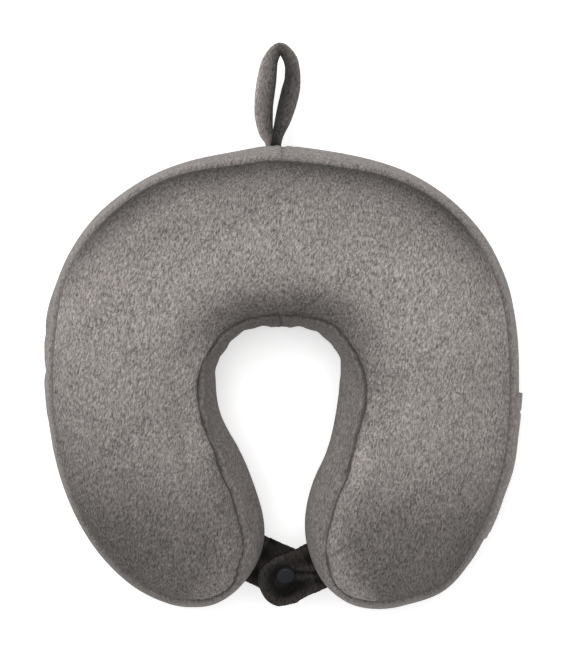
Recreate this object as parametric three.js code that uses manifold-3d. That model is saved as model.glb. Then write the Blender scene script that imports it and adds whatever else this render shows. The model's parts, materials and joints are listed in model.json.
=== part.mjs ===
// A u-shaped neck pillow: a foam core in a zipped velour cover, with a hang loop at the back,
// a two-tab strap closed by a press stud between the arms, and a flat pocket on one side.
// Millimetres, +Z up. The pillow lies flat, its back and hang loop at +Y, its arms pointing to -Y.
// The origin is under the middle of the whole object's box, loop included.

import * as THREE from "three";
import { mergeVertices } from "three/addons/utils/BufferGeometryUtils.js";
import Module from "manifold-3d";

const wasm = await Module();
wasm.setup();

// ---------- Driving dimensions ----------

// Plan outline. Depths are measured from the line where the pillow is widest.
const HALF_WIDTH = 150;
const BACK_DEPTH = 148;
const FRONT_DEPTH = 139;
const ARM_END_X = 58;
const OPENING_HALF_WIDTH = 39;
const OPENING_BACK = 38;
const THROAT_HALF_WIDTH = 13;
const THROAT_DEPTH = 91;
const SQUARENESS = 2.4; // superellipse exponent of the back and of the neck opening
const LOOP_REACH = 68.5;
const WIDEST_Y = (FRONT_DEPTH - BACK_DEPTH - LOOP_REACH) / 2;

// Cross-section of the stuffed ring.
const HEIGHT = 104;
const SEAM_RISE = 20; // the seams lie this far below the top and above the ground
const OUTER_SEAM_INSET = 6.5; // how far the walls bulge past their seams
const INNER_SEAM_INSET = 13;
const CROWN_REACH = 45; // distance from the seam at which the top is fully risen
const FLAT_REACH = 30; // the same on the underside, which rests flat
const COVER = 2.5; // cover thickness, pile included
const GAP = 0.3;

// Zip, on a circular arc low in the back wall.
const ZIP_Z = 27.5;
const ZIP_RADIUS = 215;
const ZIP_RECESS = 5.2; // from the widest outline in to the tapes
const ZIP_HALF_ANGLE = degrees(22.8);
const ZIP_BAND = 15; // height of the slot that the tapes fill
const SLIDER_REST_ANGLE = degrees(-19.5);

// Strap tabs and press stud.
const TAB_WIDTH = 29;
const TAB_LENGTH = 38; // from the fold at the arm to the round end
const TAB_THICKNESS = 3;
const TAB_FOLD = [16.2, -114.3]; // middle of the right tab's fold, from the widest line
const TAB_SWEEP = degrees(25.2); // how far the tabs point forwards
const LEFT_TAB_Z = 50;
const STUD_ALONG = 17.9; // from the fold to the press stud's middle
const STUD_STACK = 4.4; // height that the closed stud keeps between the tabs

// Hang loop.
const LOOP_Z = 52;
const LOOP_BASE_X = -6;
const LOOP_WIDTH = 11;
const LOOP_THICKNESS = 6.4;
const LOOP_ROOT_RADIUS = 3.4;

// Pocket on the right wall, given by where it starts and ends in front of the widest line.
const POCKET_MOUTH = 5;
const POCKET_END = 95;
const POCKET_Z = [24, 80];
const POCKET_THICKNESS = 1.5;

// ---------- Small helpers ----------

function degrees(value) {
  return (value * Math.PI) / 180;
}

// Eases from 0 to 1.
function ease(t) {
  const held = Math.min(1, Math.max(0, t));
  return (1 - Math.cos(Math.PI * held)) / 2;
}

function steps(from, to, count) {
  return Array.from({ length: count + 1 }, (_, i) => from + ((to - from) * i) / count);
}

// Gathers triangles given by their corner points, which are shared where they meet.
class Body {
  constructor() {
    this.points = [];
    this.faces = [];
    this.known = new Map();
  }

  corner(point) {
    const key = point.map((value) => Math.round(value * 1e4)).join();
    if (!this.known.has(key)) {
      this.known.set(key, this.points.length);
      this.points.push(point);
    }
    return this.known.get(key);
  }

  triangle(a, b, c) {
    const face = [a, b, c].map((point) => this.corner(point));
    if (new Set(face).size === 3) this.faces.push(face);
  }

  // Rows of points, every row as long as the others; closed joins the last point to the first.
  grid(rows, { closed = false, flipped = false } = {}) {
    for (let r = 0; r + 1 < rows.length; r += 1) {
      const width = rows[r].length;
      for (let i = 0; i < (closed ? width : width - 1); i += 1) {
        const j = (i + 1) % width;
        const [a, b] = flipped ? [rows[r + 1], rows[r]] : [rows[r], rows[r + 1]];
        this.triangle(a[i], a[j], b[j]);
        this.triangle(a[i], b[j], b[i]);
      }
    }
  }

  // A flat or nearly flat face inside a ring of points.
  cap(ring, flipped = false) {
    const flat = flatten(ring);
    for (const [a, b, c] of THREE.ShapeUtils.triangulateShape(flat, [])) {
      if (flipped) this.triangle(ring[a], ring[c], ring[b]);
      else this.triangle(ring[a], ring[b], ring[c]);
    }
  }

  geometry() {
    const geometry = new THREE.BufferGeometry();
    geometry.setAttribute("position", new THREE.Float32BufferAttribute(this.points.flat(), 3));
    geometry.setIndex(this.faces.flat());
    return outward(geometry);
  }
}

// A ring's points in a plane of its own, for cutting its face into triangles.
function flatten(ring) {
  const points = ring.map((point) => new THREE.Vector3(...point));
  const normal = new THREE.Vector3();
  points.forEach((point, i) => {
    normal.add(new THREE.Vector3().crossVectors(point, points[(i + 1) % points.length]));
  });
  const turn = new THREE.Quaternion().setFromUnitVectors(normal.normalize(), new THREE.Vector3(0, 0, 1));
  return points.map((point) => {
    const laid = point.applyQuaternion(turn);
    return new THREE.Vector2(laid.x, laid.y);
  });
}

function signedVolume(geometry) {
  const position = geometry.attributes.position;
  const [a, b, c] = [new THREE.Vector3(), new THREE.Vector3(), new THREE.Vector3()];
  let volume = 0;
  for (let i = 0; i < geometry.index.count; i += 3) {
    a.fromBufferAttribute(position, geometry.index.getX(i));
    b.fromBufferAttribute(position, geometry.index.getX(i + 1));
    c.fromBufferAttribute(position, geometry.index.getX(i + 2));
    volume += a.dot(b.cross(c)) / 6;
  }
  return volume;
}

// The same closed geometry with its faces pointing out.
function outward(geometry) {
  if (signedVolume(geometry) < 0) {
    const index = geometry.index.array;
    for (let i = 0; i < index.length; i += 3) [index[i], index[i + 1]] = [index[i + 1], index[i]];
  }
  return geometry;
}

// A library geometry as plain shared points and triangles.
function plain(geometry) {
  const bare = geometry.clone();
  bare.deleteAttribute("normal");
  bare.deleteAttribute("uv");
  const merged = mergeVertices(bare, 1e-4);
  const kept = [];
  for (let i = 0; i < merged.index.count; i += 3) {
    const face = [0, 1, 2].map((corner) => merged.index.getX(i + corner));
    if (new Set(face).size === 3) kept.push(...face);
  }
  merged.setIndex(kept);
  return outward(merged);
}

function toManifold(geometry) {
  const vertProperties = new Float32Array(geometry.attributes.position.array);
  const triVerts = new Uint32Array(geometry.index.array);
  return new wasm.Manifold(new wasm.Mesh({ numProp: 3, vertProperties, triVerts }));
}

function fromManifold(solid) {
  const mesh = solid.getMesh();
  const geometry = new THREE.BufferGeometry();
  geometry.setAttribute("position", new THREE.BufferAttribute(mesh.vertProperties, 3));
  geometry.setIndex(new THREE.BufferAttribute(mesh.triVerts, 1));
  return geometry;
}

function subtract(geometry, cutter) {
  return fromManifold(toManifold(geometry).subtract(toManifold(cutter)));
}

function add(first, second) {
  return fromManifold(toManifold(first).add(toManifold(second)));
}

// ---------- Plan outline ----------

function superellipse(angle, halfWidth, depth) {
  const across = Math.abs(Math.sin(angle) / halfWidth) ** SQUARENESS;
  const along = Math.abs(Math.cos(angle) / depth) ** SQUARENESS;
  const radius = (across + along) ** (-1 / SQUARENESS);
  return [radius * Math.sin(angle), radius * Math.cos(angle)];
}

// Half the distance between the arms, in front of the widest line.
function halfGap(depth) {
  if (depth < THROAT_DEPTH) {
    const closing = ease(depth / THROAT_DEPTH);
    return OPENING_HALF_WIDTH + (THROAT_HALF_WIDTH - OPENING_HALF_WIDTH) * closing;
  }
  const t = Math.min(1, (depth - THROAT_DEPTH) / (FRONT_DEPTH - THROAT_DEPTH));
  return ARM_END_X - (ARM_END_X - THROAT_HALF_WIDTH) * Math.sqrt(1 - t * t);
}

// Stations run from -2 at the left arm's end through 0 at the centre back to 2 at the right arm's end.
function outerPoint(station) {
  const far = Math.abs(station);
  if (far <= 1) return superellipse((station * Math.PI) / 2, HALF_WIDTH, BACK_DEPTH);
  const turn = ((2 - far) * Math.PI) / 2;
  const x = ARM_END_X + (HALF_WIDTH - ARM_END_X) * Math.sin(turn);
  return [Math.sign(station) * x, -FRONT_DEPTH * Math.cos(turn)];
}

function innerPoint(station) {
  const far = Math.abs(station);
  if (far <= 1) return superellipse((station * Math.PI) / 2, OPENING_HALF_WIDTH, OPENING_BACK);
  const depth = FRONT_DEPTH * Math.cos(((2 - far) * Math.PI) / 2);
  return [Math.sign(station) * halfGap(depth), -depth];
}

// The whole outline as one closed path: 0 to 4 is the outer side, 4 to 8 the inner side back again.
function outline(way) {
  const w = ((way % 8) + 8) % 8;
  return w <= 4 ? outerPoint(w - 2) : innerPoint(6 - w);
}

function outwardNormal(way) {
  const [x0, y0] = outline(way - 1e-3);
  const [x1, y1] = outline(way + 1e-3);
  const length = Math.hypot(x1 - x0, y1 - y0);
  return [(y0 - y1) / length, (x1 - x0) / length];
}

// How far the seams lie inside the outline: one value outside, another inside, eased at the arm ends.
function seamInset(way) {
  const w = ((way % 8) + 8) % 8;
  const fromEnd = Math.min(w, Math.abs(w - 4), 8 - w);
  const middle = (OUTER_SEAM_INSET + INNER_SEAM_INSET) / 2;
  const own = w <= 4 ? OUTER_SEAM_INSET : INNER_SEAM_INSET;
  return middle + (own - middle) * ease(fromEnd / 0.6);
}

// ---------- Layers of the cover and the core ----------

const TOP_SEAM = HEIGHT - SEAM_RISE;
const STATIONS = 40;
const ACROSS = [0, 0.07, 0.18, 0.33, 0.5, 0.67, 0.82, 0.93, 1];
const WAYS = steps(0, 8, 2 * STATIONS).slice(0, -1);
const WALL_LEVELS = 4;

// A wall point; layer is its depth under the outer face.
function wallPoint(way, z, layer) {
  const rise = (z - HEIGHT / 2) / (HEIGHT / 2 - SEAM_RISE);
  const inset = seamInset(way) * rise * rise + layer;
  const [x, y] = outline(way);
  const [nx, ny] = outwardNormal(way);
  return [x + nx * -inset, y + ny * -inset + WIDEST_Y, z];
}

function seamLoop(layer, z) {
  return WAYS.map((way) => wallPoint(way, TOP_SEAM, layer).with(2, z));
}

function distanceTo(loop, [x, y]) {
  let nearest = Infinity;
  loop.forEach(([ax, ay], i) => {
    const [bx, by] = loop[(i + 1) % loop.length];
    const along = ((x - ax) * (bx - ax) + (y - ay) * (by - ay)) / ((bx - ax) ** 2 + (by - ay) ** 2);
    const t = Math.min(1, Math.max(0, along));
    nearest = Math.min(nearest, Math.hypot(x - ax - (bx - ax) * t, y - ay - (by - ay) * t));
  });
  return nearest;
}

// The rounded rise from a seam to the flat, 0 to 1.
function swell(t) {
  return (1 - (1 - Math.min(1, t)) ** 2.4) ** 0.8;
}

// A panel's face as rows across the ring, from the outer seam to the inner one.
// direction is 1 for the top and -1 for the underside.
function panelRows(layer, seamZ, direction, reach) {
  const loop = seamLoop(layer, seamZ);
  const peak = HEIGHT / 2 + direction * (HEIGHT / 2 - layer);
  return steps(0, STATIONS, STATIONS).map((j) => {
    const outer = loop[j];
    const inner = loop[(2 * STATIONS - j) % (2 * STATIONS)];
    return ACROSS.map((s) => {
      const x = outer[0] + (inner[0] - outer[0]) * s;
      const y = outer[1] + (inner[1] - outer[1]) * s;
      const onSeam = s === 0 || s === 1;
      const share = onSeam ? 0 : swell(distanceTo(loop, [x, y]) / reach);
      return [x, y, seamZ + (peak - seamZ) * share];
    });
  });
}

function panel(direction, reach) {
  const seamZ = HEIGHT / 2 + direction * (HEIGHT / 2 - SEAM_RISE + GAP / 2);
  const body = new Body();
  body.grid(panelRows(0, seamZ, direction, reach));
  body.grid([seamLoop(0, seamZ), seamLoop(COVER, seamZ)], { closed: true });
  body.grid(panelRows(COVER, seamZ, direction, reach), { flipped: true });
  return body.geometry();
}

function foamCore() {
  const layer = COVER + GAP + 0.1;
  const body = new Body();
  body.grid(panelRows(layer, TOP_SEAM, 1, CROWN_REACH));
  const levels = steps(TOP_SEAM, SEAM_RISE, WALL_LEVELS);
  const rings = levels.map((z) => WAYS.map((way) => wallPoint(way, z, layer)));
  body.grid(rings, { closed: true });
  body.grid(panelRows(layer, SEAM_RISE, -1, FLAT_REACH), { flipped: true });
  return subtract(body.geometry(), zipSlot(7, 1));
}

// Half of the wall: from the centre back outside, round an arm's end, to the centre back inside.
function gusset(side) {
  const levels = steps(SEAM_RISE + GAP / 2, TOP_SEAM - GAP / 2, WALL_LEVELS);
  const ways = steps(2, 6, STATIONS);
  const face = (layer) =>
    levels.map((z) =>
      ways.map((way, i) => {
        const [x, y] = wallPoint(way, z, layer);
        const atJoin = i === 0 || i === ways.length - 1;
        return [side * (atJoin ? GAP / 2 : x), y, z];
      }),
    );
  const [outer, inner] = [face(0), face(COVER)];
  const body = new Body();
  body.grid(outer);
  body.grid(inner, { flipped: true });
  body.grid([inner[0], outer[0]]);
  body.grid([outer.at(-1), inner.at(-1)]);
  body.grid([inner.map((row) => row[0]), outer.map((row) => row[0])], { flipped: true });
  body.grid([inner.map((row) => row.at(-1)), outer.map((row) => row.at(-1))]);
  return subtract(body.geometry(), zipSlot(6, 0));
}

// ---------- Zip ----------

const ZIP_CENTRE_Y = WIDEST_Y + BACK_DEPTH - ZIP_RECESS - ZIP_RADIUS;

// A profile of [height over the tapes, z] corners swept about the zip's upright axis.
// Angles run from the centre back towards +X.
function zipSweep(profile, from, to, count) {
  const rings = steps(from, to, count).map((angle) =>
    profile.map(([height, z]) => {
      const radius = ZIP_RADIUS + height;
      return [radius * Math.sin(angle), ZIP_CENTRE_Y + radius * Math.cos(angle), z];
    }),
  );
  const body = new Body();
  body.grid(rings, { closed: true });
  body.cap(rings[0], true);
  body.cap(rings.at(-1));
  return body.geometry();
}

function box(low, high, bottom, top) {
  return [
    [low, bottom],
    [high, bottom],
    [high, top],
    [low, top],
  ];
}

// The room that the zip takes out of the wall, and out of the foam behind it.
function zipSlot(depth, spare) {
  const angle = ZIP_HALF_ANGLE + (GAP + spare) / ZIP_RADIUS;
  const bottom = spare ? ZIP_Z - ZIP_BAND / 2 : 0;
  return zipSweep(box(-depth, 12, bottom, ZIP_Z + ZIP_BAND / 2), -angle, angle, 16);
}

const TAPE = { inside: -1.6, outside: -0.8, edge: 0.8 };
const COIL = { inside: -0.5, outside: 1.1, edge: 0.5, far: 2.8 };

function zipTape(direction) {
  const near = ZIP_Z + direction * TAPE.edge;
  const far = direction > 0 ? ZIP_Z + ZIP_BAND / 2 - GAP : SEAM_RISE + GAP;
  const profile = box(TAPE.inside, TAPE.outside, Math.min(near, far), Math.max(near, far));
  return zipSweep(profile, -ZIP_HALF_ANGLE, ZIP_HALF_ANGLE, 16);
}

function zipCoil(direction) {
  const [near, far] = [ZIP_Z + direction * COIL.edge, ZIP_Z + direction * COIL.far];
  const profile = box(COIL.inside, COIL.outside, Math.min(near, far), Math.max(near, far));
  const angle = ZIP_HALF_ANGLE - 5 / ZIP_RADIUS;
  return zipSweep(profile, -angle, angle, 16);
}

function zipStop(side) {
  const profile = box(COIL.inside, COIL.outside, ZIP_Z - COIL.far, ZIP_Z + COIL.far);
  const near = side * (ZIP_HALF_ANGLE - 4.6 / ZIP_RADIUS);
  const far = side * (ZIP_HALF_ANGLE - 1.6 / ZIP_RADIUS);
  return zipSweep(profile, Math.min(near, far), Math.max(near, far), 1);
}

const SLIDER = { length: 11, halfWidth: 4.2, lip: 3.1, plate: 1.5, top: 2.4, web: 0.2, under: -2, base: -2.9 };
const PULL_PIN = { height: 4.1, radius: 0.6, bore: 0.9, eye: 1.5, halfWidth: 2.2, length: 19, thickness: 1.1 };

// The slider's plates lie on both sides of the tapes, and its web runs between the two coils.
function zipSlider() {
  const s = SLIDER;
  const upper = [
    [s.base, s.halfWidth],
    [s.base, -s.halfWidth],
    [s.under, -s.halfWidth],
    [s.under, -s.web],
    [s.plate, -s.web],
    [s.plate, -s.lip],
    [TAPE.outside + 0.4, -s.lip],
    [TAPE.outside + 0.4, -s.halfWidth],
    [s.top, -s.halfWidth],
    [s.top, s.halfWidth],
    [TAPE.outside + 0.4, s.halfWidth],
    [TAPE.outside + 0.4, s.lip],
    [s.plate, s.lip],
    [s.plate, s.web],
    [s.under, s.web],
    [s.under, s.halfWidth],
  ].map(([height, z]) => [height, ZIP_Z + z]);
  const half = s.length / 2 / ZIP_RADIUS;
  const plates = zipSweep(upper, SLIDER_REST_ANGLE - half, SLIDER_REST_ANGLE + half, 2);
  return add(plates, pullPin());
}

// Two ears with a pin between them, which carries the pull.
function pullPin() {
  const { height, radius, halfWidth } = PULL_PIN;
  const earWidth = 0.9;
  const start = halfWidth + GAP;
  const pin = new THREE.CylinderGeometry(radius, radius, 2 * start + earWidth, 12);
  pin.rotateX(Math.PI / 2);
  const ears = [-1, 1].map((side) => {
    const ear = new THREE.BoxGeometry(2.6, height + radius + 0.5 - SLIDER.plate, earWidth);
    const middle = (SLIDER.plate + height + radius + 0.5) / 2;
    return ear.translate(0, middle - height, side * (start + earWidth / 2));
  });
  const pivot = add(add(plain(pin), plain(ears[0])), plain(ears[1]));
  return placeOnSlider(pivot);
}

// Moves a piece drawn about the pull's pin, x along the zip and y out of it, to the slider.
function placeOnSlider(geometry) {
  const radius = ZIP_RADIUS + PULL_PIN.height;
  geometry.rotateZ(-SLIDER_REST_ANGLE);
  geometry.translate(
    radius * Math.sin(SLIDER_REST_ANGLE),
    ZIP_CENTRE_Y + radius * Math.cos(SLIDER_REST_ANGLE),
    ZIP_Z,
  );
  return geometry;
}

// A flat pull with an eye round the pin, lying along the zip.
function zipPull() {
  const { bore, eye, halfWidth, length, thickness } = PULL_PIN;
  const opening = Math.asin(thickness / 2 / eye);
  const shape = new THREE.Shape();
  shape.absarc(0, 0, eye, opening, 2 * Math.PI - opening, false);
  shape.lineTo(length - thickness / 2, -thickness / 2);
  shape.absarc(length - thickness / 2, 0, thickness / 2, -Math.PI / 2, Math.PI / 2, false);
  const hole = new THREE.Path();
  hole.absarc(0, 0, bore, 0, 2 * Math.PI, true);
  shape.holes.push(hole);
  const settings = { depth: 2 * halfWidth, bevelEnabled: false, curveSegments: 8 };
  const pull = new THREE.ExtrudeGeometry(shape, settings).translate(0, 0, -halfWidth);
  return placeOnSlider(plain(pull));
}

// ---------- Strap ----------

// Places a piece drawn with the fold at the origin and +x along the tab. side is 1 on the right.
function placeTab(geometry, side, z) {
  const [x, y] = TAB_FOLD;
  geometry.rotateZ(TAB_SWEEP * side + (side > 0 ? Math.PI : 0));
  return geometry.translate(side * x, y + WIDEST_Y, z);
}

// A tab with a round free end, a rounded fold edge and a hole for the stud's post.
function strapTab(side, z) {
  const half = TAB_WIDTH / 2;
  const shape = new THREE.Shape();
  shape.moveTo(0, -half);
  shape.lineTo(TAB_LENGTH - half, -half);
  shape.absarc(TAB_LENGTH - half, 0, half, -Math.PI / 2, Math.PI / 2, false);
  shape.lineTo(0, half);
  const hole = new THREE.Path();
  hole.absarc(STUD_ALONG, 0, STUD.post + GAP, 0, 2 * Math.PI, true);
  shape.holes.push(hole);
  const settings = { depth: TAB_THICKNESS, bevelEnabled: false, curveSegments: 10 };
  const flat = plain(new THREE.ExtrudeGeometry(shape, settings).translate(0, 0, -TAB_THICKNESS / 2));
  const fold = plain(new THREE.CylinderGeometry(TAB_THICKNESS / 2, TAB_THICKNESS / 2, TAB_WIDTH, 12));
  return placeTab(add(flat, fold), side, z);
}

const STUD = { post: 1.3, cap: 6.2, capHeight: 1.5, flange: 5.2, knob: 2.1, segments: 20 };
const RIGHT_TAB_Z = LEFT_TAB_Z + TAB_THICKNESS + STUD_STACK;

// A turned plastic piece on the stud's axis; the profile is [radius, z] from the axis round to it.
function stud(side, profile, z) {
  const points = profile.map(([r, height]) => new THREE.Vector2(r, height));
  const turned = new THREE.LatheGeometry(points, STUD.segments).rotateX(Math.PI / 2);
  return placeTab(plain(turned.translate(STUD_ALONG, 0, 0)), side, z);
}

// The dished cap outside a tab, with the post that goes through it. up is 1 on the right tab.
function studCap(side, up, z) {
  const face = TAB_THICKNESS / 2 + GAP;
  const profile = [
    [0, -TAB_THICKNESS / 2 - 1.3],
    [STUD.post, -TAB_THICKNESS / 2 - 1.3],
    [STUD.post, face],
    [STUD.cap, face],
    [STUD.cap, face + 0.7],
    [STUD.cap * 0.8, face + STUD.capHeight],
    [0, face + STUD.capHeight],
  ].map(([r, height]) => [r, up * height]);
  return stud(side, profile, z);
}

// The half with the round hollow, under the right tab.
function studSocket() {
  const top = -TAB_THICKNESS / 2 - GAP;
  const profile = [
    [STUD.post + GAP, top],
    [STUD.flange, top],
    [STUD.flange, top - 2],
    [STUD.knob + 1.6, top - 2.6],
    [STUD.knob + GAP, top - 2.6],
    [STUD.knob + GAP, top - 1.2],
    [STUD.post + GAP, top - 1.2],
    [STUD.post + GAP, top],
  ];
  return stud(1, profile, RIGHT_TAB_Z);
}

// The half with the knob, on the left tab.
function studKnob() {
  const base = TAB_THICKNESS / 2 + GAP;
  const profile = [
    [STUD.post + GAP, base],
    [STUD.flange, base],
    [STUD.flange, base + 0.8],
    [STUD.knob, base + 0.8],
    [STUD.knob, base + 2],
    [STUD.knob - 0.4, base + 2.4],
    [STUD.post + GAP, base + 2.4],
    [STUD.post + GAP, base],
  ];
  return stud(-1, profile, LEFT_TAB_Z);
}

// ---------- Hang loop ----------

// The loop's middle line: up its left leg, over the top and down its right leg.
// Its legs lie side by side along the loop and one on the other at the root.
function hangLoop() {
  const rootY = WIDEST_Y + BACK_DEPTH + LOOP_ROOT_RADIUS + GAP;
  const tipY = WIDEST_Y + BACK_DEPTH + LOOP_REACH - LOOP_WIDTH / 2;
  const length = tipY - rootY;
  const lay = (LOOP_ROOT_RADIUS - 0.1) / 2;
  const line = new THREE.CatmullRomCurve3(
    [
      [0, 0, -lay],
      [-4.2, 0.2, -lay],
      [-6.4, 0.5, 0],
      [-4.8, 0.8, 0],
      [4.6, 1, 0],
      [11.3, 0.83, 0],
      [11.4, 0.6, 0],
      [7.6, 0.3, lay],
      [0, 0, lay],
    ].map(([x, share, z]) => new THREE.Vector3(LOOP_BASE_X + x, rootY + length * share, LOOP_Z + z)),
  );
  const count = 40;
  const rings = steps(0, 1, count).map((t) => {
    const centre = line.getPointAt(t);
    const tangent = line.getTangentAt(t);
    const across = new THREE.Vector2(-tangent.y, tangent.x).normalize();
    const loosening = ease(Math.min(t, 1 - t) / 0.25);
    const halfWidth = (LOOP_WIDTH / 2) * (0.8 + 0.2 * loosening);
    const halfThickness = lay - 0.15 + (LOOP_THICKNESS / 2 - lay + 0.15) * loosening;
    return steps(0, 7, 7).map((i) => {
      const angle = ((i + 0.5) * Math.PI) / 4;
      const side = halfWidth * Math.cos(angle);
      const up = halfThickness * Math.sin(angle);
      return [centre.x + across.x * side, centre.y + across.y * side, centre.z + up];
    });
  });
  const body = new Body();
  body.grid(rings, { closed: true });
  body.cap(rings[0], true);
  body.cap(rings.at(-1));
  const root = new THREE.CylinderGeometry(LOOP_ROOT_RADIUS, LOOP_ROOT_RADIUS, LOOP_WIDTH, 16);
  root.rotateZ(Math.PI / 2).translate(LOOP_BASE_X, rootY, LOOP_Z);
  return add(body.geometry(), plain(root));
}

// ---------- Pocket ----------

// The patch lies flat on the right wall. It is sewn down on three sides and open towards the back.
function pocketPanel() {
  const station = (depth) => 2 - (2 * Math.acos(depth / FRONT_DEPTH)) / Math.PI;
  const ways = steps(2 + station(POCKET_MOUTH), 2 + station(POCKET_END), 10);
  const levels = steps(...POCKET_Z, 4);
  const face = (layer) => levels.map((z) => ways.map((way) => wallPoint(way, z, layer)));
  const [outer, inner] = [face(-POCKET_THICKNESS - GAP), face(-GAP)];
  const body = new Body();
  body.grid(outer);
  body.grid(inner, { flipped: true });
  body.grid([inner[0], outer[0]]);
  body.grid([outer.at(-1), inner.at(-1)]);
  body.grid([inner.map((row) => row[0]), outer.map((row) => row[0])], { flipped: true });
  body.grid([inner.map((row) => row.at(-1)), outer.map((row) => row.at(-1))]);
  return body.geometry();
}

// ---------- Assembly ----------

function material(color, roughness, metalness = 0) {
  return new THREE.MeshStandardMaterial({ color, roughness, metalness });
}

const velour = () => material(0x96908c, 0.95);
const darkVelour = () => material(0x3a3633, 0.95);
const foam = () => material(0xe9e3cf, 0.9);
const tape = () => material(0x5c5753, 0.85);
const nylon = () => material(0x4a4643, 0.45);
const studPlastic = () => material(0x2f3036, 0.35);
const zincAlloy = () => material(0x6d6b6a, 0.35, 0.9);

const pillow = new THREE.Group();

function piece(name, geometry, finish) {
  const mesh = new THREE.Mesh(geometry, finish);
  mesh.name = name;
  pillow.add(mesh);
}

piece("foam_core", foamCore(), foam());
piece("cover_top_panel", panel(1, CROWN_REACH), velour());
piece("cover_bottom_panel", panel(-1, FLAT_REACH), velour());
piece("gusset_left", gusset(-1), velour());
piece("gusset_right", gusset(1), velour());
piece("pocket_panel", pocketPanel(), velour());
piece("zip_tape_upper", zipTape(1), tape());
piece("zip_tape_lower", zipTape(-1), tape());
piece("zip_coil_upper", zipCoil(1), nylon());
piece("zip_coil_lower", zipCoil(-1), nylon());
piece("zip_stop_left", zipStop(-1), zincAlloy());
piece("zip_stop_right", zipStop(1), zincAlloy());
piece("zip_slider", zipSlider(), zincAlloy());
piece("zip_pull", zipPull(), zincAlloy());
piece("hang_loop", hangLoop(), velour());
piece("strap_tab_left", strapTab(-1, LEFT_TAB_Z), darkVelour());
piece("strap_tab_right", strapTab(1, RIGHT_TAB_Z), darkVelour());
piece("press_stud_cap", studCap(1, 1, RIGHT_TAB_Z), studPlastic());
piece("press_stud_socket", studSocket(), studPlastic());
piece("press_stud_knob", studKnob(), studPlastic());
piece("press_stud_back", studCap(-1, -1, LEFT_TAB_Z), studPlastic());

export default pillow;
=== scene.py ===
"""The looks of a u-shaped neck pillow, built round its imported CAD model, in metres."""

import json
import math

import bpy
import numpy as np
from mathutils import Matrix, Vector
from mathutils.bvhtree import BVHTree
from mathutils.geometry import delaunay_2d_cdt


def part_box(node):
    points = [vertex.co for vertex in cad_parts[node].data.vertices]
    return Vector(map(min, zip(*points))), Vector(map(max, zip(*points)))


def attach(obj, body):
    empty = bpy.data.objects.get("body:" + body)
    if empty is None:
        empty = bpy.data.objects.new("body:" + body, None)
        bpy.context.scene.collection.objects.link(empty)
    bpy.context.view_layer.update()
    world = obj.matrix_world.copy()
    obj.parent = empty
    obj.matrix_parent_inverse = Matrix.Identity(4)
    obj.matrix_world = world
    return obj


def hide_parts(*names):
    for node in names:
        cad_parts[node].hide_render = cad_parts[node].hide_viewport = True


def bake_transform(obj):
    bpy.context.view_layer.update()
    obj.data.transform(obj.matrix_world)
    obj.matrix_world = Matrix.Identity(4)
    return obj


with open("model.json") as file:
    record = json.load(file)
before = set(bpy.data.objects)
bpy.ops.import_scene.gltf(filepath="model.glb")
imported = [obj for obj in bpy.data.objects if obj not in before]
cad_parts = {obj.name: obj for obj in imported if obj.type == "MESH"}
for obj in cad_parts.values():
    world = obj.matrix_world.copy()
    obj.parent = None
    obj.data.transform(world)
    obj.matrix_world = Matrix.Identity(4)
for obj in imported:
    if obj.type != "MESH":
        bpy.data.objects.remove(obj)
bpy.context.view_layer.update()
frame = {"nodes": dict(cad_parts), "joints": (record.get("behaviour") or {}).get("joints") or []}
MM = 0.001
JOINTS = {joint["name"]: joint for joint in frame["joints"]}

# ---------- Dimensions, from the CAD's boxes and joints ----------

WALL_LOW, WALL_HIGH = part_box("gusset_right")
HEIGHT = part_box("cover_top_panel")[1].z
MIDDLE_Z = HEIGHT / 2
HALF_WIDTH = WALL_HIGH.x
LENGTH = WALL_HIGH.y - WALL_LOW.y
BACK_DEPTH = 0.5157 * LENGTH
FRONT_DEPTH = LENGTH - BACK_DEPTH
WIDEST_Y = WALL_HIGH.y - BACK_DEPTH
CAD_GAP = 0.3 * MM
SEAM_LOW = WALL_LOW.z - CAD_GAP / 2
SEAM_HIGH = WALL_HIGH.z + CAD_GAP / 2

ARM_END_X = 58 * MM
OPENING_HALF_WIDTH = 39 * MM
OPENING_BACK = 38 * MM
THROAT_HALF_WIDTH = 13 * MM
THROAT_DEPTH = 91 * MM
SQUARENESS = 2.4

# The back bulges a little where the hang loop is sewn in, and the opening leans to the left.
BACK_HUMP = 3.2 * MM
BACK_HUMP_X = -5.7 * MM
BACK_HUMP_SPREAD = (20 * MM, 30 * MM)  # to its left, to its right
OPENING_LEAN = 3.6 * MM
OPENING_LEAN_Y = WIDEST_Y - 9 * MM

# The next three tables hold millimetres at places along the outline, and are eased in between.
# Places: 0 is the left arm's end, 2 the centre back, 4 the right arm's end, 6 the back of the
# neck opening, and 8 is 0 again.
# How much fuller than its plain outline the ring is stuffed.
FULLNESS = {
    0: 0, 0.2: -1.6, 0.4: -2.2, 0.85: -1.8, 1: -0.7, 1.12: -0.5, 1.3: 1.1, 1.6: -0.3,
    2: -0.4, 2.6: -0.5, 3: -1.6, 3.3: 0, 3.45: 0.8, 3.7: 4.6, 3.86: 1.4,
    4.12: 1, 4.25: 0, 4.45: -1.2, 4.7: -0.2, 5: 0.9, 5.5: -1.2,
    6: 0, 6.5: -1.6, 7.06: 1.4, 7.3: 0, 7.5: 1.4, 7.7: 0.3, 7.88: 0.9, 8: 0,
}
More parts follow.
